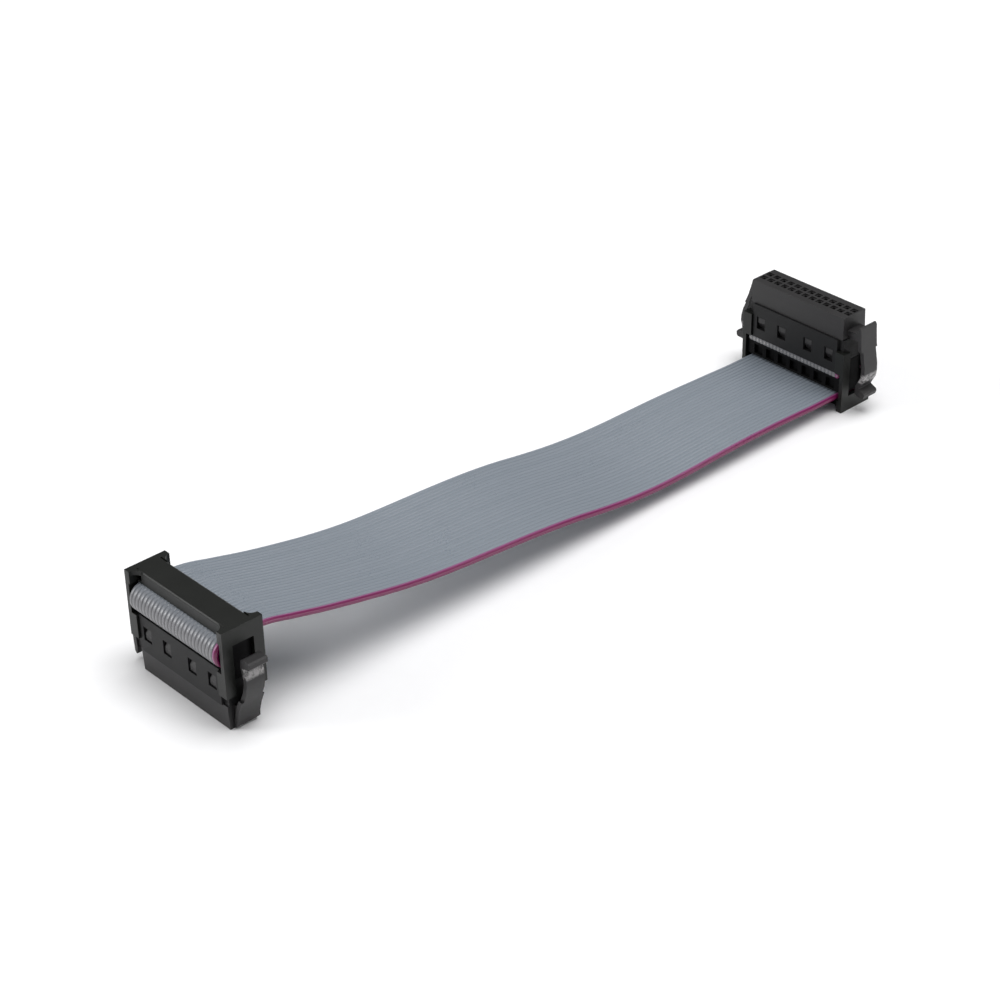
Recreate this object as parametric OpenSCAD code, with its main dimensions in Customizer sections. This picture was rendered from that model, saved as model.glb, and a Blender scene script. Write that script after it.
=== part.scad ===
// Flat ribbon cable with a two-row socket connector pressed on each end.
// The first connector stands on its mating face, the second stands on its strain relief.
// Lengths are in millimetres. The origin is the middle of the first mating face.

/* [Cable] */
// Number of conductors, two for each column of contacts
conductors = 26; // [10:2:26]
// Distance between neighbouring conductors
wire_pitch = 0.635; // [0.6:0.005:0.66]
// Thickness of the insulation
ribbon_t = 0.7; // [0.6:0.05:0.8]
// Width of the wire inside the insulation
wire_w = 0.25; // [0.2:0.01:0.3]
// Distance between the middles of the two connectors
connector_gap = 105; // [100:1:130]

/* [Connector] */
// Height from the mating face to the top of the strain relief
connector_h = 14; // [13:0.25:17]
// Depth of the strain relief
connector_d = 5.8; // [5.6:0.1:7]
// Depth of the socket body at the mating face
body_d = 4.3; // [4.1:0.1:4.4]
// Height of the part of the socket body that goes into the header
body_h = 3.3; // [2.8:0.1:3.8]
// Height of the deck that the cable is pressed on
deck_z = 8.4; // [8.2:0.1:8.8]
// Wall of the contact carrier
carrier_wall = 0.6; // [0.5:0.05:0.65]
// Radius of the cable's fold over the wire cover
fold_r = 1.6; // [1.4:0.1:2]

/* [Strain relief] */
// Thickness of the end plates
plate_t = 0.6; // [0.5:0.05:0.8]
// Height of the lower ends of the legs above the mating face
leg_z = 5; // [4:0.25:6]
// Depth of the bar between the end plates
bar_d = 3.6; // [3:0.1:4]

/* [Latch] */
// Width of a latch arm
latch_w = 2.6; // [2:0.1:3.2]
// Thickness of a latch arm
latch_t = 0.65; // [0.5:0.05:0.8]
// Play at each side of a latch arm in the window of its end plate
latch_play = 0.2; // [0.1:0.05:0.3]
// Angle of the arms that stand open
latch_tilt = 12.5; // [10:0.5:14]

/* [Contacts] */
// Thickness of the contact metal
contact_t = 0.2; // [0.15:0.01:0.25]
// Width of the pin that a contact takes
pin_w = 0.46; // [0.4:0.01:0.5]

/* [Hidden] */
$fn = 48;
eps = 0.01;
columns = conductors / 2;
column_pitch = 2 * wire_pitch;
row_y = column_pitch / 2;
ribbon_w = conductors * wire_pitch;

// Heights that follow from the sizes above
clamp_z = deck_z + ribbon_t / 2;
fold_z = clamp_z + 2 * fold_r;
cover_z = deck_z + ribbon_t;
cover_top = fold_z - ribbon_t / 2;
bar_z = fold_z + ribbon_t / 2;
deck_t = 1.35;
core_top = deck_z - deck_t;

// Lengths along the connector, from its middle
slip = 0.05;
end_wall = 0.25;
core_x = ribbon_w / 2 - slip;
carrier_x = core_x + slip + end_wall;
body_x = ribbon_w / 2 + slip;
post_in = ribbon_w / 2 + slip;
post_out = carrier_x + slip;
plate_in = post_out + slip;
plate_out = plate_in + plate_t;
flange_x = plate_out - 1.5;

// Depths across the connector
carrier_d = body_d + 0.9;
carrier_in = carrier_d / 2 - carrier_wall;
core_y = carrier_in - slip;
fold_proud = 0.1;
fold_y = connector_d / 2 + fold_proud - fold_r;
cut_y = carrier_d / 2;
cover_d = carrier_d - 0.3;
flange_y = carrier_in + 0.2;
lug_y = carrier_d / 2 - 0.15;
window_w = latch_w + 2 * latch_play;
post_w = window_w - 0.3;
post_z = core_top - 0.4;

// Snap windows on both long sides of the carrier
snap_w = 1.5;
snap_h = 1.9;
snap_z = core_top - snap_h - slip;
snap_x = [-6.2, -2.4, 2.4, 6.2] * (ribbon_w / 16.51);

// Hollows in the wire cover, at each side of the middle one
hollow_pitch = 2.2;
hollows = floor((ribbon_w / 2 - 1) / hollow_pitch);

// One contact
prong_w = 0.2;
pin_grip = 0.04;
contact_w = pin_w - pin_grip + 2 * prong_w;
contact_z = 0.9;
base_z = 4.3;
fork_z = 6.4;
fork_w = 0.5;
fork_top = cover_z + 0.35;
slot_w = wire_w;
slot_z = deck_z - 0.3;
mouth_w = pin_w + 0.16;

// Route of the cable between the connectors, as [y, z]
span = [[4.5, 11.65], [8, 10.75], [13, 9.45], [18, 8.35], [23, 7.4], [28, 6.7], [33, 6.3],
        [38, 6.05], [43, 5.8], [48, 5.45], [53, 4.9], [58, 4.1], [63, 3.4], [68, 2.95],
        [73, 2.75], [78, 2.7], [83, 2.65], [88, 2.5], [93, 2.3], [98, 2.1]];
fold_step = 20;

function flip(p) = [connector_gap - p[0], connector_h - p[1]];
function fold_point(a) = [-fold_y - fold_r * cos(a), clamp_z + fold_r - fold_r * sin(a)];
first_end = concat([[cut_y, clamp_z]],
                   [for (a = [90 : -fold_step : -90]) fold_point(a)],
                   [[bar_d / 2, fold_z]]);
last_end = [for (i = [len(first_end) - 1 : -1 : 0]) flip(first_end[i])];
route = concat(first_end, [for (p = span) if (p[1] < fold_z && p[0] < connector_gap - 5) p], last_end);

// Outline of a band of the given thickness that follows the route
function unit(v) = v / norm(v);
function left_of(v) = [-v[1], v[0]];
function along(i) = let (a = route[max(i - 1, 0)], b = route[i], c = route[min(i + 1, len(route) - 1)])
    b == a ? unit(c - b) : b == c ? unit(b - a) : unit(unit(b - a) + unit(c - b));
function lean(i) = i == 0 || i == len(route) - 1 ? 1 : along(i) * unit(route[i] - route[i - 1]);
function edge(i, t) = route[i] + left_of(along(i)) * t / lean(i);
function band(t) = concat([for (i = [0 : len(route) - 1]) edge(i, t / 2)],
                          [for (i = [len(route) - 1 : -1 : 0]) edge(i, -t / 2)]);

function wire_x(i) = (i - (conductors - 1) / 2) * wire_pitch;
function column_x(c) = (c - (columns - 1) / 2) * column_pitch;
function two_digits(n) = str(n < 10 ? "0" : "", n);
function contact_names(end) = [for (c = [1 : columns]) str("contacts_", end, "_", two_digits(c))];
function end_names(end) = concat([for (n = ["socket_body_", "contact_carrier_", "wire_cover_",
                                            "strain_relief_"]) str(n, end)], contact_names(end));

// Carries an outline in Y and Z along X, over a length with its middle at x
module along_x(length, x = 0)
    translate([x - length / 2, 0, 0]) rotate([90, 0, 90]) linear_extrude(length) children();

// Carries an outline in X and Z along Y, with its middle at y
module along_y(length, y = 0)
    translate([0, y + length / 2, 0]) rotate([90, 0, 0]) linear_extrude(length) children();

module block(x, y, z0, z1, at = [0, 0])
    translate([at[0] - x / 2, at[1] - y / 2, z0]) cube([x, y, z1 - z0]);

module both_ends() { children(); mirror([1, 0, 0]) children(); }
module both_sides() { children(); mirror([0, 1, 0]) children(); }

// The second connector is turned over and faces the first
module at_end(end)
    if (end == "a") children();
    else translate([0, connector_gap, connector_h]) rotate([180, 0, 0]) children();

// Places its children at both contacts of a column, and tells them the row in $row
module contact_pair(c)
    for (row = [-1, 1])
        translate([column_x(c), row * row_y, 0]) {
            $row = row;
            children();
        }

module each_contact() for (c = [0 : columns - 1]) contact_pair(c) children();

// Two tines and the throat between them, offset to one conductor of the column
module fork_outline(width, bottom, top)
    translate([$row * wire_pitch / 2 - width / 2, bottom]) square([width, top - bottom]);

module contact_outline() {
    difference() {
        union() {
            translate([-contact_w / 2, contact_z]) square([contact_w, fork_z - contact_z]);
            fork_outline(fork_w, base_z, fork_top);
        }
        translate([-(pin_w - pin_grip) / 2, contact_z - eps])
            square([pin_w - pin_grip, base_z - contact_z]);
        translate([0, contact_z]) polygon([[-0.36, -eps], [0.36, -eps], [0, 0.5]]);
        fork_outline(slot_w, slot_z, fork_top + eps);
        translate([$row * wire_pitch / 2, fork_top])
            for (s = [-1, 1]) polygon([[s * fork_w / 2, eps], [s * fork_w / 2, -0.25],
                                       [s * slot_w / 2, eps]]);
    }
}

module contact_column(end, c)
    color("goldenrod") at_end(end) contact_pair(c) along_y(contact_t) contact_outline();

// Slots in the insulation where the tines go through
module tine_slots()
    each_contact()
        for (s = [-1, 1])
            block((fork_w - slot_w) / 2, contact_t, deck_z - 1, cover_z + 1,
                  [$row * wire_pitch / 2 + s * (fork_w + slot_w) / 4, 0]);

module ribbon_insulation() {
    color("lightslategray")
        difference() {
            along_x(ribbon_w) polygon(band(ribbon_t));
            conductors();
            for (end = ["a", "b"]) at_end(end) tine_slots();
        }
}

module conductors() {
    color("peru")
        for (i = [0 : conductors - 1])
            along_x(wire_w, wire_x(i)) polygon(band(wire_w));
}

// Outline of the right-hand latch arm in X and Z, closed, and the same tilted open
module latch_arm(open) {
    outer = [[-0.6, 0.2], [-0.35, 0.45], [-0.15, 1.2], [0.4, 3], [1, 4.4], [1.55, 5.7],
             [1.85, 6.9], [1.9, 7.7], [1.45, 9.2]];
    finger_rest = [[1.5, 9.3], [2.45, 9.5], [2.65, 9.75], [2.6, 10.3], [2.4, 10.45], [1.4, 10.5],
                   [1, 10.3]];
    gap = body_x + 0.1 - plate_out;
    inner = [for (i = [len(outer) - 1 : -1 : 0]) [max(outer[i][0] - latch_t, gap), outer[i][1]]];
    pivot = [1.8, 8];
    open_shift = [0.35, 1];
    translate([plate_out, 0]) translate(open ? pivot + open_shift : pivot)
        rotate(open ? latch_tilt : 0) translate(-pivot)
            polygon(concat(outer, finger_rest, inner));
}

// Arm with a wider foot, on a web that joins it to the socket body
module latch(open) {
    foot_top = 4.4;
    reach = open ? 1.4 : -0.1;
    along_y(latch_w) latch_arm(open);
    along_y(latch_w + 0.6) intersection() {
        latch_arm(open);
        translate([body_x, 0]) square([5, foot_top]);
    }
    block(plate_out + reach - body_x + eps, latch_w, 2, 3.1,
          [(plate_out + reach + body_x - eps) / 2, 0]);
}

module socket_body(end) {
    color("#2b2b2b") at_end(end) difference() {
        union() {
            // Plug-in part, with draft on its long sides
            along_x(2 * body_x) polygon([[-body_d / 2, 0], [body_d / 2, 0],
                [body_d / 2 + 0.15, body_h], [-body_d / 2 - 0.15, body_h]]);
            // Core inside the carrier
            block(2 * core_x, 2 * core_y, body_h - eps, core_top);
            // Wedge lugs that snap into the carrier's windows
            both_sides() for (x = snap_x)
                along_x(snap_w - 0.3, x)
                    polygon([[core_y - eps, snap_z + 0.15], [lug_y, snap_z + 0.15],
                             [lug_y, snap_z + 0.9], [core_y + 0.05, snap_z + snap_h - 0.1],
                             [core_y - eps, snap_z + snap_h - 0.1]]);
            // One arm of each connector stands open
            latch(end == "b");
            mirror([1, 0, 0]) latch(end == "a");
        }
        each_contact() {
            block(mouth_w, mouth_w, -eps, contact_z);
            block(mouth_w + 0.28, mouth_w + 0.28, -eps, 0.2);
            block(contact_w + 0.04, mouth_w, contact_z - eps, base_z);
            block(contact_w, contact_t, base_z - eps, fork_z);
            along_y(contact_t) fork_outline(fork_w, base_z, core_top + eps);
        }
    }
}

module contact_carrier(end) {
    color("#1f1f1f") at_end(end) difference() {
        block(2 * carrier_x, carrier_d, body_h + slip, deck_z);
        block(2 * (core_x + slip), 2 * carrier_in, body_h, core_top + 0.02);
        // Notches for the posts of the wire cover
        both_ends() block(1, post_w + 2 * slip, post_z - slip, deck_z + eps,
                          [post_in - slip / 2 + 0.5, 0]);
        // Catches for the barbs of the strain relief
        both_ends() both_sides() barb(slip / 2);
        // Corners that the legs of the strain relief wrap round
        both_ends() both_sides()
            block(3, 1, 0, deck_z + eps, [flange_x - slip + 1.5, flange_y - slip + 0.5]);
        both_sides() for (x = snap_x)
            block(snap_w, 2, snap_z, snap_z + snap_h, [x, carrier_d / 2]);
        each_contact() along_y(contact_t) fork_outline(fork_w, core_top - 1, deck_z + eps);
    }
}

module wire_cover(end) {
    color("#242424") at_end(end) difference() {
        union() {
            block(2 * post_out, cover_d, cover_z, cover_top);
            both_ends() block(post_out - post_in, post_w, post_z, cover_z + eps,
                              [(post_in + post_out) / 2, 0]);
        }
        // Rounded nose that the cable folds over
        difference() {
            block(ribbon_w + 2, 4, cover_z - 1, cover_top + 1, [0, slip - fold_y - 2]);
            translate([0, slip - fold_y, clamp_z + fold_r]) rotate([0, 90, 0])
                cylinder(r = fold_r - ribbon_t / 2 - slip, h = ribbon_w + 4, center = true);
        }
        // Slope that the cable leaves over
        along_x(2 * plate_in) polygon([[bar_d / 2 - 0.5, cover_top + eps],
                                       [cover_d / 2 + eps, cover_top - 0.3],
                                       [cover_d / 2 + eps, cover_top + eps]]);
        // Hollows in the open side
        for (c = [-hollows : hollows])
            block(1.5, 1, cover_z + 0.5, cover_top - 0.55, [c * hollow_pitch, cover_d / 2]);
        each_contact() block(fork_w + 0.14, contact_t + 0.2, cover_z - eps, fork_top + 0.1,
                             [$row * wire_pitch / 2, 0]);
    }
}

// Wedge that catches in the end wall of the carrier, grown by its clearance
module barb(clearance)
    along_y(0.6, flange_y - 0.4)
        polygon([[plate_in + eps, leg_z + 0.2 - clearance],
                 [plate_in - 0.16 - clearance, leg_z + 0.4 - clearance],
                 [plate_in + eps, leg_z + 1.2 + clearance]]);

module corner_fill(r) difference() { square(r); translate([r, r]) circle(r); }

module strain_relief(end) {
    neck = plate_in - 0.3;
    reach = connector_d / 2 - bar_d / 2;
    pocket = 0.8;
    roof = 0.6;
    color("#262626") at_end(end) difference() {
        union() {
            // Bar across the cable, with rounded long edges
            along_x(2 * plate_in + eps) {
                translate([-bar_d / 2, bar_z]) square([bar_d, connector_h - bar_z - 0.4]);
                translate([-bar_d / 2 + 0.4, bar_z]) square([bar_d - 0.8, connector_h - bar_z]);
                for (s = [-1, 1]) translate([s * (bar_d / 2 - 0.4), connector_h - 0.4]) circle(0.4);
            }
            // End plates
            both_ends() block(plate_t, connector_d, leg_z, connector_h,
                              [plate_out - plate_t / 2, 0]);
            both_ends() block(plate_out - neck, connector_d, bar_z, connector_h,
                              [(plate_out + neck) / 2, 0]);
            // Curved corners between bar and end plates, which are only a roof over the fold
            both_ends() {
                translate([neck + eps, bar_d / 2 - eps, bar_z]) mirror([1, 0, 0])
                    linear_extrude(connector_h - bar_z) corner_fill(reach);
                translate([neck + eps, -bar_d / 2 + eps, connector_h - roof]) rotate(180)
                    linear_extrude(roof) corner_fill(reach);
            }
            // Flanges that wrap the corners of the carrier
            both_ends() both_sides()
                block(plate_out - flange_x, connector_d / 2 - flange_y, leg_z, deck_z - 0.1,
                      [(plate_out + flange_x) / 2, (connector_d / 2 + flange_y) / 2]);
            both_ends() both_sides() barb(0);
        }
        // Pockets at the ends of the bar, over the fold
        both_ends() block(pocket, 2 * pocket, bar_z + 0.35, connector_h - roof,
                          [neck - pocket / 2, -bar_d / 2]);
        // Window for the latch arm, open at its lower end
        both_ends() block(plate_t + 1, window_w, leg_z - eps, connector_h - 2.2,
                          [plate_out, 0]);
    }
}

ribbon_insulation();
conductors();
for (end = ["a", "b"]) {
    socket_body(end);
    contact_carrier(end);
    wire_cover(end);
    strain_relief(end);
    for (c = [1 : columns])
        contact_column(end, c - 1);
}
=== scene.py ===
import math

import bmesh
import bpy
import numpy as np
from mathutils import Matrix, Vector


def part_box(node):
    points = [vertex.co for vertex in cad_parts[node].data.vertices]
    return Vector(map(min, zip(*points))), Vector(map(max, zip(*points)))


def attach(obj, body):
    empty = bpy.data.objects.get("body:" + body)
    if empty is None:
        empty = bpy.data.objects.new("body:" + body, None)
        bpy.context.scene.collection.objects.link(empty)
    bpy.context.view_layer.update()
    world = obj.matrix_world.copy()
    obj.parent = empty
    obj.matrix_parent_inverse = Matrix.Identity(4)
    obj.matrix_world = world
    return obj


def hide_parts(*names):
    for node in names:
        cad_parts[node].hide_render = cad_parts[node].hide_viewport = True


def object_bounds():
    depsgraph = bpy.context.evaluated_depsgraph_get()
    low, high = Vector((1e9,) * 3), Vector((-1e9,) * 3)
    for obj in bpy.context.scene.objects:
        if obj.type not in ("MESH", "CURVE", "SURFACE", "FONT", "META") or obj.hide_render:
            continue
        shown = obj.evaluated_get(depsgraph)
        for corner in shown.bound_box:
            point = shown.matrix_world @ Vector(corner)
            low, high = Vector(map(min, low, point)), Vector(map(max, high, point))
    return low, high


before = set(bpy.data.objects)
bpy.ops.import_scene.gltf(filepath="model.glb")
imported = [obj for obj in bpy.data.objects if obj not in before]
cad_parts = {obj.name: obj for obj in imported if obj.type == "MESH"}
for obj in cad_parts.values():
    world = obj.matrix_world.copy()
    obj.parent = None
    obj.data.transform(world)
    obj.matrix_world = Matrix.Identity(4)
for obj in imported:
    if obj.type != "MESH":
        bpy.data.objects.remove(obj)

cadLow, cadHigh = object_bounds()
middle = (cadLow + cadHigh) / 2
mm = 0.001
print("frame loaded,", len(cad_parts), "nodes")

# Camera: its aim, from the middle of the object, and its distance are in millimetres
view = {
    "aim": (-1.45, -3.92, -2.48), "distance": 320.2, "azimuth": 48.1, "elevation": 31.8,
    "roll": -1.27, "lens": 90.9, "sensor": 36, "clip": (0.01, 20),
}


def placeCamera():
    # The camera sits back from its aim along (sin az cos el, -cos az cos el, sin el), then rolls about it
    azimuth, elevation, roll = (math.radians(view[k]) for k in ("azimuth", "elevation", "roll"))
    back = Vector((math.sin(azimuth) * math.cos(elevation),
                   -math.cos(azimuth) * math.cos(elevation), math.sin(elevation)))
    right = Vector((0, 0, 1)).cross(back).normalized()
    up = back.cross(right)
    turned = Matrix((right * math.cos(roll) + up * math.sin(roll),
                     up * math.cos(roll) - right * math.sin(roll), back)).transposed()
    camera = bpy.data.objects.new("Camera", bpy.data.cameras.new("Camera"))
    camera.data.lens, camera.data.sensor_width = view["lens"], view["sensor"]
    camera.data.clip_start, camera.data.clip_end = view["clip"]
    place = middle + (Vector(view["aim"]) + back * view["distance"]) * mm
    camera.matrix_world = Matrix.Translation(place) @ turned.to_4x4()
    bpy.context.scene.collection.objects.link(camera)
    bpy.context.scene.camera = camera


placeCamera()
print("camera placed")


# A signal is one socket of a finish; sums, differences and products of signals add Math nodes
class Signal:
    def __init__(self, finish, socket):
        self.finish, self.socket = finish, socket

    def math(self, operation, first, second):
        return self.finish.add("ShaderNodeMath", {"operation": operation}, [first, second])

    def __add__(self, other): return self.math("ADD", self, other)
    def __sub__(self, other): return self.math("SUBTRACT", self, other)
    def __rsub__(self, other): return self.math("SUBTRACT", other, self)
    def __mul__(self, other): return self.math("MULTIPLY", self, other)
    __radd__, __rmul__ = __add__, __mul__


class Finish:
    def __init__(self, name):
        self.material = bpy.data.materials.new(name)
        self.material.use_nodes = True
        self.tree = self.material.node_tree
        self.tree.nodes.clear()

    # One node of any type: settings are set first, then each socket gets a value or a link
    def add(self, kind, settings=None, values=(), output=0):
        node = self.tree.nodes.new(kind)
        for key, value in (settings or {}).items():
            setattr(node, key, value)
        for key, value in (values.items() if isinstance(values, dict) else enumerate(values)):
            if isinstance(value, Signal):
                self.tree.links.new(value.socket, node.inputs[key])
            else:
                node.inputs[key].default_value = value
        return Signal(self, node.outputs[output]) if node.outputs else None

    def place(self):
        return self.add("ShaderNodeTexCoord", output="Object")

    def surface(self):
        return self.add("ShaderNodeUVMap", {"uv_map": "UVMap"})

    # Cloudy pattern from 0 to 1 with features of that size, in millimetres
    def clouds(self, size, detail, rough, seed=0):
        moved = self.add("ShaderNodeMapping", None, {
            "Vector": self.place(), "Location": (seed, seed / 2, -seed)})
        return self.add("ShaderNodeTexNoise", None, {
            "Vector": moved, "Scale": 1 / (size * mm), "Detail": detail, "Roughness": rough})

    # Turns a pattern into a mask that rises from 0 to 1 between two levels
    def between(self, signal, low, high):
        return self.add("ShaderNodeMapRange", {"interpolation_type": "SMOOTHSTEP"},
                        {"Value": signal, "From Min": low, "From Max": high})

    def blend(self, mask, first, second):
        return self.add("ShaderNodeMix", {"data_type": "RGBA"}, {0: mask, 6: first, 7: second}, 2)

    # A bump of that height, in millimetres, on top of another if one is given
    def bump(self, pattern, height, strength, under=None):
        values = {"Height": pattern, "Distance": height * mm, "Strength": strength}
        if under:
            values["Normal"] = under
        return self.add("ShaderNodeBump", None, values)

    def finished(self, **values):
        shader = self.add("ShaderNodeBsdfPrincipled", None,
                          {key.replace("_", " "): value for key, value in values.items()})
        self.add("ShaderNodeOutputMaterial", None, {"Surface": shader})
        return self.material


def colour(red, green, blue):
    # Display values to linear light: with v the value over 255, ((v + 0.055) / 1.055) to the power 2.4
    return tuple(((v / 255 + 0.055) / 1.055) ** 2.4 for v in (red, green, blue)) + (1,)


# Ribbon: lengths are in millimetres, and the route's are those of the CAD. In its finish, places across are
# in wires, a share is how much of a pattern shows, and roughness is the least, to which patterns add theirs
ribbon = {
    "wires": 26, "pitch": 0.635, "thickness": 0.7, "web": 0.53,
    "clampZ": 8.75, "foldRadius": 1.6, "foldY": 1.4, "cutY": 2.6, "barY": 1.8,
    "span": ((4.5, 11.65), (8, 10.75), (13, 9.45), (18, 8.35), (23, 7.4), (28, 6.7), (33, 6.3),
             (38, 6.05), (43, 5.8), (48, 5.45), (53, 4.9), (58, 4.1), (63, 3.4), (68, 2.95),
             (73, 2.75), (78, 2.7), (83, 2.65), (88, 2.5), (93, 2.3), (98, 2.1)),
    "ribSteps": 8, "edgeSteps": 8, "foldSteps": 24, "straightSteps": 3, "spanSteps": 130, "sharpAngle": 50,
    "twistFrom": 14, "twistTo": 96, "twistDrop": 1.0,
    # The groove colour is painted shade in the grooves between the wires
    "grey": colour(122, 130, 139), "paler": colour(129, 136, 145), "grooveShade": colour(104, 111, 120),
    "wireShare": 0.5, "streakShare": 0.4, "smudgeShare": 0.3, "greyShare": 0.1,
    "grooveShadeFrom": 0.62, "grooveShadeShare": 0.5, "foldGrooveFrom": 0.5,
    # The fold colours are painted shade over the folds near the ends: a darker, more neutral grey, and
    # darker grooves
    "fold": colour(117, 117, 120), "foldGroove": colour(58, 58, 60), "foldReach": 9.5, "foldFade": 2.5,
    # markedSideShade is painted shade on the marked wire's outer side
    "marked": colour(142, 78, 124), "markedSideShade": colour(106, 20, 72),
    "markedShadeAndSmudge": colour(104, 44, 82), "markedSmudge": 0.2,
    "markedFrom": 1.1, "markedTo": 0.9, "sideShadeFrom": 0.62, "sideShadeTo": 0.32,
    "smudgeSize": 9, "skinSize": 0.25, "streakScale": 3.0, "streakStretch": 0.08,
    "skinHeight": 0.012, "streakHeight": 0.02,
    "roughness": 0.18, "smudgeRoughness": 0.14, "skinRoughness": 0.1,
    "cut": colour(112, 112, 114), "cutSize": 0.08, "cutShare": 0.7, "cutHeight": 0.02,
    "cutRoughness": 0.5, "cutRoughnessRise": 0.2,
}


def throughPoints(knots, steps):
    # Cubic Hermite curve over chord length; a tangent is the slopes of the chords at both its sides, each
    # weighted by the other's length
    gaps = np.linalg.norm(np.diff(knots, axis=0), axis=1)
    slope = np.diff(knots, axis=0) / gaps[:, None]
    inner = slope[:-1] * gaps[1:, None] + slope[1:] * gaps[:-1, None]
    tangent = np.vstack([slope[:1], inner / (gaps[1:] + gaps[:-1])[:, None], slope[-1:]])
    reached = np.concatenate([[0], np.cumsum(gaps)])
    along = np.linspace(0, reached[-1], steps + 1)
    i = np.clip(np.searchsorted(reached, along, side="right") - 1, 0, len(gaps) - 1)
    t, gap = ((along - reached[i]) / gaps[i])[:, None], gaps[i][:, None]
    return ((2 * t**3 - 3 * t**2 + 1) * knots[i] + (t**3 - 2 * t**2 + t) * gap * tangent[i]
            + (3 * t**2 - 2 * t**3) * knots[i + 1] + (t**3 - t**2) * gap * tangent[i + 1])


def ribbonRoute():
    # Cut end, half circle round the cover, span, and the same turned over at the second connector
    radius, clampZ, foldY = ribbon["foldRadius"], ribbon["clampZ"], ribbon["foldY"]
    angle = np.radians(np.linspace(90, -90, ribbon["foldSteps"] + 1))
    straight = np.linspace(ribbon["cutY"], -foldY, ribbon["straightSteps"] + 1)[:-1]
    first = np.vstack([
        np.stack([straight, np.full(len(straight), clampZ)], 1),
        np.stack([-foldY - radius * np.cos(angle), clampZ + radius * (1 - np.sin(angle))], 1)])
    gap = (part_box("socket_body_b")[0].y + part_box("socket_body_b")[1].y) / 2 / mm
    turned = np.array([gap, cadHigh.z / mm])
    last = turned - first[::-1]
    under = np.array([ribbon["barY"], clampZ + 2 * radius])
    knots = np.vstack([first[-1:], [under], ribbon["span"], [turned - under], last[:1]])
    return np.vstack([first, throughPoints(knots, ribbon["spanSteps"])[1:-1], last]) * mm


def ribbonOutline():
    # Half height over the width: the web's half plus what the rib adds times the root of the cosine's size,
    # and half an ellipse at each edge
    wires, pitch = ribbon["wires"], ribbon["pitch"]
    half, web = ribbon["thickness"] / 2, ribbon["web"] / 2
    reach = (wires - 1) / 2
    across = np.linspace(-reach, reach, (wires - 1) * ribbon["ribSteps"] + 1)
    arch = np.abs(np.cos(np.pi * (across + reach)))
    top = web + (half - web) * np.sqrt(arch)
    turn = np.radians(np.linspace(90, -90, ribbon["edgeSteps"] + 1))[1:-1]
    edge = np.stack([reach + 0.5 * np.cos(turn), half * np.sin(turn)], 1)
    upper = np.stack([across, top], 1)
    outline = np.vstack([upper, edge, upper[::-1] * [1, -1], edge[::-1] * [-1, 1]])
    return outline * [pitch, 1] * mm


def addPiece(name, mesh, materials):
    piece = bpy.data.objects.new(name, mesh)
    bpy.context.scene.collection.objects.link(piece)
    mesh.materials.clear()
    for material in materials:
        mesh.materials.append(material)
    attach(piece, "root")
    return piece


def carryAlong(outline, path):
    # Each point is the path's point plus the outline's height along the path's left normal, at the
    # outline's place across
    step = np.diff(path, axis=0)
    step /= np.linalg.norm(step, axis=1)[:, None]
    ahead = np.vstack([step[:1], step[:-1] + step[1:], step[-1:]])
    ahead /= np.linalg.norm(ahead, axis=1)[:, None]
    left = np.stack([-ahead[:, 1], ahead[:, 0]], 1)
    place = path[:, None, :] + left[:, None, :] * outline[None, :, 1:]
    across = np.broadcast_to(outline[None, :, :1], place.shape[:2] + (1,))
    return np.concatenate([across, place], axis=2)


def twisted(rings):
    # The marked edge hangs lower in the span: the drop is a squared sine along Y times the share of the
    # width from the unmarked edge
    start, stop = ribbon["twistFrom"], ribbon["twistTo"]
    along = (rings[..., 1] / mm - start) / (stop - start)
    share = rings[..., 0] / (ribbon["wires"] * ribbon["pitch"] * mm) + 0.5
    drop = ribbon["twistDrop"] * mm * np.sin(np.pi * np.clip(along, 0, 1)) ** 2 * share
    return rings - drop[..., None] * [0, 0, 1]


def gridMesh(name, rings):
    # Quads between neighbouring rings of points, which run round their axis, and a cap on each end
    count, around = rings.shape[:2]
    r, k = np.meshgrid(np.arange(count - 1), np.arange(around), indexing="ij")
    following = (k + 1) % around
    quads = np.stack([r * around + k, r * around + following,
                      (r + 1) * around + following, (r + 1) * around + k], -1).reshape(-1, 4)
    faces = quads.tolist()
    faces += [list(range(around))[::-1], list(range((count - 1) * around, count * around))]
    mesh = bpy.data.meshes.new(name)
    mesh.from_pydata(rings.reshape(-1, 3), [], faces)
    return mesh


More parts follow.
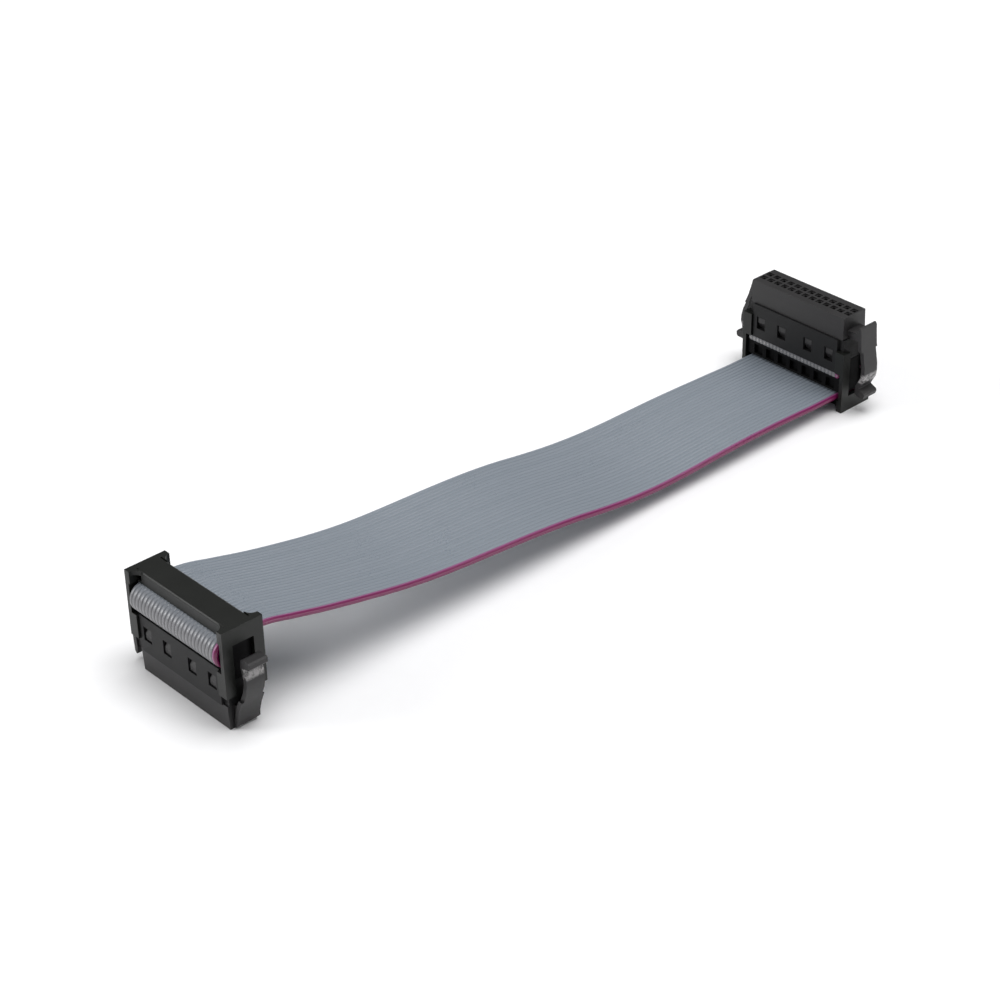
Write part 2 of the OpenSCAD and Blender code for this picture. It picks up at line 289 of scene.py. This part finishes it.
def ribbonFinish():
    # Grey insulation with painted shade in its grooves and over its folds, a marked wire at one edge with
    # painted shade on its outer side, and faint drawing streaks along it
    f = Finish("ribbonInsulation")
    wires = ribbon["wires"]
    across = f.add("ShaderNodeSeparateXYZ", None, [f.surface()], "X")
    fromEnd = f.add("ShaderNodeSeparateXYZ", None, [f.surface()], "Y")
    # Painted shade over the folds at both ends: the grey turns darker and more neutral, and its grooves
    # darker still
    foldShadeMask = 1 - f.between(fromEnd, ribbon["foldReach"] - ribbon["foldFade"], ribbon["foldReach"])
    phase = f.add("ShaderNodeMath", {"operation": "FRACT"}, [across])
    fromMiddle = f.add("ShaderNodeMath", {"operation": "ABSOLUTE"}, [phase - 0.5]) * 2
    # Painted shade in the grooves between the wires
    grooveShade = f.between(fromMiddle, ribbon["grooveShadeFrom"], 1.0) * ribbon["grooveShadeShare"]
    foldGroove = f.between(fromMiddle, ribbon["foldGrooveFrom"], 1.0) * ribbon["grooveShadeShare"]
    wire = f.add("ShaderNodeMath", {"operation": "FLOOR"}, [across])
    own = f.add("ShaderNodeTexWhiteNoise", {"noise_dimensions": "1D"}, {"W": wire})
    stretched = f.add("ShaderNodeMapping", None, {
        "Vector": f.surface(), "Scale": (1.0, ribbon["streakStretch"], 1.0)})
    streaks = f.add("ShaderNodeTexNoise", None, {
        "Vector": stretched, "Scale": ribbon["streakScale"], "Detail": 4.0})
    smudges = f.clouds(ribbon["smudgeSize"], 4, 0.6)
    paler = (own * ribbon["wireShare"] + streaks * ribbon["streakShare"]
             + smudges * ribbon["smudgeShare"] - ribbon["greyShare"])
    tone = f.blend(paler, ribbon["grey"], ribbon["paler"])
    tone = f.blend(grooveShade, tone, ribbon["grooveShade"])
    tone = f.blend(foldShadeMask, tone, f.blend(foldGroove, ribbon["fold"], ribbon["foldGroove"]))
    isMarked = f.between(across, wires - ribbon["markedFrom"], wires - ribbon["markedTo"])
    # Painted shade on the outer side of the marked wire
    onShadedSide = f.between(across, wires - ribbon["sideShadeFrom"], wires - ribbon["sideShadeTo"])
    # The marked wire's darker magenta is painted shade in its grooves, and also its smudges
    mark = f.blend(grooveShade + smudges * ribbon["markedSmudge"], ribbon["marked"], ribbon["markedShadeAndSmudge"])
    mark = f.blend(onShadedSide, mark, ribbon["markedSideShade"])
    skin = f.clouds(ribbon["skinSize"], 2, 0.6)
    sheen = smudges * ribbon["smudgeRoughness"] + skin * ribbon["skinRoughness"] + ribbon["roughness"]
    bumped = f.bump(skin, ribbon["skinHeight"], 0.5, f.bump(streaks, ribbon["streakHeight"], 0.6))
    return f.finished(Base_Color=f.blend(isMarked, tone, mark), Roughness=sheen,
                      Normal=bumped, IOR=1.5, Specular_IOR_Level=0.5)


def cutFinish():
    # Sheared insulation: dull, and finely mottled towards the darker grey of the painted groove shade
    f = Finish("ribbonCut")
    mottled = f.clouds(ribbon["cutSize"], 3, 0.7)
    return f.finished(Base_Color=f.blend(mottled * ribbon["cutShare"], ribbon["cut"], ribbon["grooveShade"]),
                      Roughness=mottled * ribbon["cutRoughnessRise"] + ribbon["cutRoughness"],
                      Normal=f.bump(mottled, ribbon["cutHeight"], 0.8))


def makeRibbon():
    route = ribbonRoute()
    outline = ribbonOutline()
    mesh = gridMesh("ribbonCable", twisted(carryAlong(outline, route)))
    mesh.polygons.foreach_set("use_smooth", np.ones(len(mesh.polygons), bool))
    mesh.set_sharp_from_angle(angle=math.radians(ribbon["sharpAngle"]))
    onCut = np.zeros(len(mesh.polygons), np.int32)
    onCut[-2:] = 1  # the caps come last
    mesh.polygons.foreach_set("material_index", onCut)
    # The map's first number counts wires from the unmarked edge, kept just inside the outer wires, and its
    # second is the distance from the nearer end in millimetres
    reached = np.concatenate([[0], np.cumsum(np.linalg.norm(np.diff(route, axis=0), axis=1))]) / mm
    fromEnd = np.minimum(reached, reached[-1] - reached)
    wires, inside = ribbon["wires"], 0.001
    across = np.clip(outline[:, 0] / mm / ribbon["pitch"] + wires / 2, inside, wires - inside)
    corner = np.zeros(len(mesh.loops), np.int32)
    mesh.loops.foreach_get("vertex_index", corner)
    pair = np.stack([across[corner % len(outline)], fromEnd[corner // len(outline)]], 1)
    mesh.uv_layers.new(name="UVMap").data.foreach_set("uv", pair.astype(np.float32).ravel())
    piece = addPiece("ribbonCable", mesh, [ribbonFinish(), cutFinish()])
    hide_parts("ribbon_insulation")
    print("ribbon:", len(mesh.polygons), "faces,", round(float(reached[-1]), 1), "mm long")
    return piece, route, float(reached[-1]) * mm


ribbonCable, ribbonPath, ribbonLength = makeRibbon()

# Tinned strands that show at the ribbon's two cut ends, in millimetres
strand = {"radius": 0.05, "lay": 0.1, "stub": 0.8, "proud": 0.02, "sides": 8, "sharpAngle": 60,
          "bright": colour(186, 184, 182), "dull": colour(132, 128, 124),
          "tarnishSize": 0.2, "tarnishLevels": (0.35, 0.7), "markSize": 0.03, "markHeight": 0.004,
          "roughness": 0.3, "markRoughness": 0.25}


def tinnedFinish():
    # Bright tin with duller patches and fine marks
    f = Finish("wireTinned")
    tarnish = f.between(f.clouds(strand["tarnishSize"], 3, 0.6), *strand["tarnishLevels"])
    marks = f.clouds(strand["markSize"], 2, 0.5)
    return f.finished(Base_Color=f.blend(tarnish, strand["bright"], strand["dull"]), Metallic=1.0,
                      Roughness=marks * strand["markRoughness"] + strand["roughness"],
                      Normal=f.bump(marks, strand["markHeight"], 0.5))


def makeStrands():
    # A wire is one strand with six round it; each is a prism along Y whose rim is (cos t, sin t) times its
    # radius, from a little outside the cut to its stub's length inside
    sides, radius = strand["sides"], strand["radius"] * mm
    turn = np.linspace(0, 2 * np.pi, sides, endpoint=False)
    six = np.radians(np.arange(6) * 60)
    centres = np.vstack([[[0, 0]], np.stack([np.cos(six), np.sin(six)], 1) * strand["lay"]]) * mm
    wireX = (np.arange(ribbon["wires"]) - (ribbon["wires"] - 1) / 2) * ribbon["pitch"] * mm
    wearHighlightAndDust = np.stack([np.cos(turn), np.sin(turn)], 1) * radius
    points, faces = [], []
    for end, inward in ((ribbonPath[0], -1), (ribbonPath[-1], 1)):
        depth = np.array([-strand["proud"], strand["stub"]]) * inward * mm
        shape = (len(wireX), len(centres), 2, sides)
        x = wireX[:, None, None, None] + centres[None, :, None, None, 0] + wearHighlightAndDust[None, None, None, :, 0]
        z = end[1] + centres[None, :, None, None, 1] + wearHighlightAndDust[None, None, None, :, 1]
        y = end[0] + depth[None, None, :, None]
        block = np.stack([np.broadcast_to(a, shape) for a in (x, y, z)], -1).reshape(-1, 3)
        count = len(wireX) * len(centres)
        first = (np.arange(count) * 2 * sides)[:, None, None] + sum(len(p) for p in points)
        k = np.arange(sides)
        side = np.stack([k, (k + 1) % sides, (k + 1) % sides + sides, k + sides], 1)[None]
        quads = (first + side).reshape(-1, 4)
        rims = np.stack([k[::-1], k + sides])[None]
        caps = (first + rims).reshape(-1, sides)
        if inward > 0:
            quads, caps = quads[:, ::-1], caps[:, ::-1]
        points.append(block)
        faces += quads.tolist() + caps.tolist()
    mesh = bpy.data.meshes.new("wireStrands")
    mesh.from_pydata(np.vstack(points), [], faces)
    mesh.polygons.foreach_set("use_smooth", np.ones(len(mesh.polygons), bool))
    mesh.set_sharp_from_angle(angle=math.radians(strand["sharpAngle"]))
    piece = addPiece("wireStrands", mesh, [tinnedFinish()])
    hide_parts("conductors")
    print("strands:", len(mesh.polygons), "faces")


makeStrands()

# Moulded parts: the CAD's faces with rounded edges, and a finish of their own for the edges, paler partly
# from wear and partly from a painted highlight. Lengths are in millimetres, and roughness is the least, to
# which the patterns add theirs.
# The painted highlight on each latch arm, a patch that is also smoother, fades between pairs of places,
# counted outwards from the connector's middle and up from its mating face
# The rim colour makes edges paler, partly as rubbed wear and partly as a painted highlight, and also
# colours dust specks
socketBody = {"label": "socketBody", "node": "socket_body_", "slot": "socket_plastic", "edge": 0.1,
              "dark": colour(30, 29, 30), "light": colour(39, 38, 39), "wearHighlightAndDust": colour(78, 76, 78),
              "roughness": 0.36, "shine": 0.42, "grain": 0.12, "grainHeight": 0.006,
              # The worn patch is a painted highlight on each latch arm's facet under the finger rest, which
              # is also smoother
              "wearAndHighlight": {"tone": colour(150, 148, 148), "out": (10.35, 10.45), "bottom": (7.65, 8.05),
                       "top": (9.1, 9.3), "size": 0.7, "levels": (0.36, 0.6), "smoother": 0.2}}
contactCarrier = {"label": "contactCarrier", "node": "contact_carrier_", "slot": "carrier_plastic",
                  "edge": 0.08, "dark": colour(15, 15, 16), "light": colour(22, 22, 23),
                  "wearHighlightAndDust": colour(50, 49, 50), "roughness": 0.41, "shine": 0.28, "grain": 0.1,
                  "grainHeight": 0.006}
wireCover = {"label": "wireCover", "node": "wire_cover_", "slot": "carrier_plastic", "edge": 0.08,
             "dark": colour(10, 10, 11), "light": colour(16, 16, 17), "wearHighlightAndDust": colour(38, 37, 38),
             "roughness": 0.41, "shine": 0.08, "grain": 0.1, "grainHeight": 0.006}
strainRelief = {"label": "strainRelief", "node": "strain_relief_", "slot": "relief_plastic", "edge": 0.14,
                "dark": colour(13, 15, 13), "light": colour(19, 21, 18), "wearHighlightAndDust": colour(104, 106, 100),
                "roughness": 0.28, "shine": 0.34, "grain": 0.12, "grainHeight": 0.007}

# What all moulded parts share
moulding = {"cloudSize": 3.5, "cloudGain": 1.2, "cloudDrop": 0.1, "cloudRoughness": 0.16,
            "grainRoughness": 0.12, "dustSize": 0.35, "dustLevels": (0.66, 0.8), "dustShare": 0.25,
            # The rub pattern pales the edges: partly wear, partly a painted highlight
            "rubAndHighlightSize": 1.2, "rubAndHighlightLevels": (0.3, 0.7), "rubAndHighlightShare": 0.8,
            "merge": 0.001, "flatAngle": 1, "sharpAngle": 30, "roundAngle": 35, "segments": 2}


def mouldedFinish(part, ofEdges):
    # Near-black moulded plastic: spark-eroded grain, cloudy tone, dust specks, and edges made paler partly
    # by rubbed wear and partly by a painted highlight
    f = Finish(part["label"] + ("Edges" if ofEdges else "Plastic"))
    cloudy = f.clouds(moulding["cloudSize"], 4, 0.55)
    grain = f.clouds(part["grain"], 2, 0.6)
    dust = f.between(f.clouds(moulding["dustSize"], 3, 0.7, seed=5), *moulding["dustLevels"])
    tone = f.blend(cloudy * moulding["cloudGain"] - moulding["cloudDrop"], part["dark"], part["light"])
    if ofEdges:
        # Paler edges: partly rubbed wear, partly a painted highlight
        rubbedAndHighlit = f.between(f.clouds(moulding["rubAndHighlightSize"], 3, 0.6, seed=2), *moulding["rubAndHighlightLevels"])
        tone = f.blend(rubbedAndHighlit * moulding["rubAndHighlightShare"], tone, part["wearHighlightAndDust"])
    tone = f.blend(dust * moulding["dustShare"], tone, part["wearHighlightAndDust"])
    sheen = cloudy * moulding["cloudRoughness"] + grain * moulding["grainRoughness"] + part["roughness"]
    if "wearAndHighlight" in part:
        # Painted highlight on the facet under each arm's finger rest, which is also made smoother; the
        # second connector is turned over
        wearAndHighlight = part["wearAndHighlight"]
        x, y, z = (f.add("ShaderNodeSeparateXYZ", None, [f.place()], axis) for axis in "XYZ")
        height = z + f.between(y, middle.y - mm, middle.y + mm) * (cadHigh.z - z * 2)
        out = f.add("ShaderNodeMath", {"operation": "ABSOLUTE"}, [x])
        outside, above, over = (
            f.between(place, *(level * mm for level in wearAndHighlight[key]))
            for place, key in ((out, "out"), (height, "bottom"), (height, "top")))
        highlitFacet = outside * above * (1 - over)
        facetHighlight = highlitFacet * f.between(f.clouds(wearAndHighlight["size"], 5, 0.75, seed=9), *wearAndHighlight["levels"])
        # Painted highlight on the facet
        tone = f.blend(facetHighlight, tone, wearAndHighlight["tone"])
        sheen = sheen - highlitFacet * wearAndHighlight["smoother"]
    return f.finished(Base_Color=tone, Roughness=sheen, Normal=f.bump(grain, part["grainHeight"], 0.7),
                      IOR=1.5, Specular_IOR_Level=part["shine"])


def makeMoulded(part):
    # The CAD's triangles are merged and flat ones joined, and then a live bevel rounds the edges
    finishes = [mouldedFinish(part, False), mouldedFinish(part, True)]
    made = []
    for end in "ab":
        node = part["node"] + end
        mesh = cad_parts[node].data.copy()
        work = bmesh.new()
        work.from_mesh(mesh)
        bmesh.ops.remove_doubles(work, verts=work.verts, dist=moulding["merge"] * mm)
        bmesh.ops.dissolve_limit(work, angle_limit=math.radians(moulding["flatAngle"]),
                                 verts=work.verts, edges=work.edges)
        work.to_mesh(mesh)
        work.free()
        mesh.polygons.foreach_set("use_smooth", np.ones(len(mesh.polygons), bool))
        mesh.set_sharp_from_angle(angle=math.radians(moulding["sharpAngle"]))
        piece = addPiece(part["label"] + end.upper(), mesh, finishes)
        rounded = piece.modifiers.new("roundedEdges", "BEVEL")
        rounded.width, rounded.segments = part["edge"] * mm, moulding["segments"]
        rounded.limit_method, rounded.angle_limit = "ANGLE", math.radians(moulding["roundAngle"])
        rounded.material, rounded.harden_normals = 1, True
        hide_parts(node)
        made.append(piece)
    print(part["label"] + ":", len(made[0].data.polygons), "faces each before rounding")
    return made


moulded = [makeMoulded(part) for part in (socketBody, contactCarrier, wireCover, strainRelief)]

# Forked contacts stay as the CAD has them, in plated metal
# The gold's worn colour is real wear of the plating
plating = {"gold": colour(222, 178, 92), "wearAndHighlight": colour(176, 140, 84),
           "wearSize": 0.6, "wearLevels": (0.45, 0.7), "stampSize": 0.05, "stampHeight": 0.004,
           "roughness": 0.22, "wearRoughness": 0.2, "stampRoughness": 0.12}


def platedFinish():
    # Gold with worn patches over a finely stamped surface
    f = Finish("contactPlating")
    wear = f.between(f.clouds(plating["wearSize"], 4, 0.6), *plating["wearLevels"])
    stamped = f.clouds(plating["stampSize"], 2, 0.5)
    sheen = wear * plating["wearRoughness"] + stamped * plating["stampRoughness"] + plating["roughness"]
    return f.finished(Base_Color=f.blend(wear, plating["gold"], plating["wearAndHighlight"]), Metallic=1.0,
                      Roughness=sheen, Normal=f.bump(stamped, plating["stampHeight"], 0.5))


def plateContacts():
    finish = platedFinish()
    contacts = [node for name, node in sorted(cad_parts.items()) if name.startswith("contacts_")]
    for node in contacts:
        node.data.materials.clear()
        node.data.materials.append(finish)
    print("contacts:", len(contacts))
    return contacts


contacts = plateContacts()
onFarEnd = [pair[1] for pair in moulded] + [c for c in contacts if c.name.startswith("contacts_b")]
ribbon["wires"] * ribbon["pitch"] * mm

# Studio: a pale floor, a bright even surround and three soft lights, each with its place from the middle of
# the object, its size and its power
studio = {"floorSize": 4, "floorDrop": 0.02, "floor": colour(248, 248, 249), "fibre": colour(240, 240, 241),
          "paperSize": 2, "fibreShare": 0.3, "roughness": 0.7, "paperRoughness": 0.1,
          "surround": 0.22, "backdrop": 1.0,
          "lights": (("overhead", (0.1, 0.15, 1.0), 1.0, 11.5),
                     ("frontLeft", (-0.62, -0.75, 0.4), 0.45, 5.0),
                     ("rightBack", (0.85, 0.55, 0.15), 0.4, 2.2))}


def floorFinish():
    f = Finish("paleFloor")
    paper = f.clouds(studio["paperSize"], 3, 0.5)
    return f.finished(Base_Color=f.blend(paper * studio["fibreShare"], studio["floor"], studio["fibre"]),
                      Roughness=paper * studio["paperRoughness"] + studio["roughness"],
                      Specular_IOR_Level=0.2)


def setStudio():
    half = studio["floorSize"] / 2
    corners = [(middle.x + half * x, middle.y + half * y, cadLow.z - studio["floorDrop"] * mm)
               for x, y in ((-1, -1), (1, -1), (1, 1), (-1, 1))]
    mesh = bpy.data.meshes.new("floor")
    mesh.from_pydata(corners, [], [(0, 1, 2, 3)])
    mesh.materials.append(floorFinish())
    floor = bpy.data.objects.new("floor", mesh)
    bpy.context.scene.collection.objects.link(floor)
    for name, place, size, power in studio["lights"]:
        light = bpy.data.objects.new(name, bpy.data.lights.new(name, "AREA"))
        light.data.energy, light.data.size = power, size
        light.location = middle + Vector(place)
        light.rotation_euler = (-Vector(place)).to_track_quat("-Z", "Y").to_euler()
        bpy.context.scene.collection.objects.link(light)
    # The surround looks brighter than it lights
    world = bpy.data.worlds.new("surround")
    world.use_nodes = True
    nodes, links = world.node_tree.nodes, world.node_tree.links
    looks, rays = nodes.new("ShaderNodeMapRange"), nodes.new("ShaderNodeLightPath")
    looks.inputs["To Min"].default_value = studio["surround"]
    looks.inputs["To Max"].default_value = studio["backdrop"]
    links.new(rays.outputs["Is Camera Ray"], looks.inputs["Value"])
    links.new(looks.outputs[0], nodes["Background"].inputs["Strength"])
    nodes["Background"].inputs["Color"].default_value = (1, 1, 1, 1)
    bpy.context.scene.world = world
    bpy.context.scene.view_settings.view_transform = "Standard"
    print("studio set")


setStudio()
